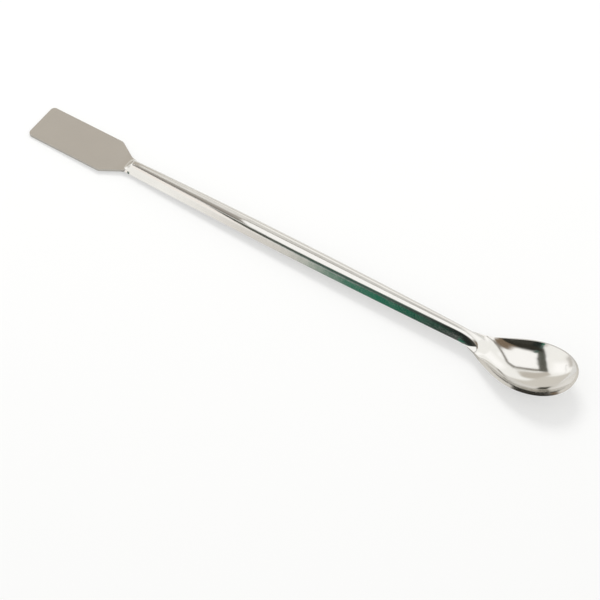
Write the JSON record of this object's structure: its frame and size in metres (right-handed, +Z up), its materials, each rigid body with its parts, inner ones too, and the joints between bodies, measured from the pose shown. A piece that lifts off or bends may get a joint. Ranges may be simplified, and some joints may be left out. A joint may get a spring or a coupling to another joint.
{
  "type": "lab spatula",
  "caption": "Laboratory spatula pressed from sheet steel: a flat rectangular blade, a slender ribbed handle and an oval bowl for weighing out powders.",
  "frame": {"origin": "middle of the length and width, on the surface that the spatula lies on", "axes": "+X along the handle towards the bowl's tip, +Z up out of the bowl, +Y across the handle"},
  "size_m": [0.22, 0.0226, 0.0107],
  "materials": {
    "steel": "satin blade, bright handle and bowl"
  },
  "bodies": {
    "root": {"spatula": "steel"}
  },
  "joints": []
}
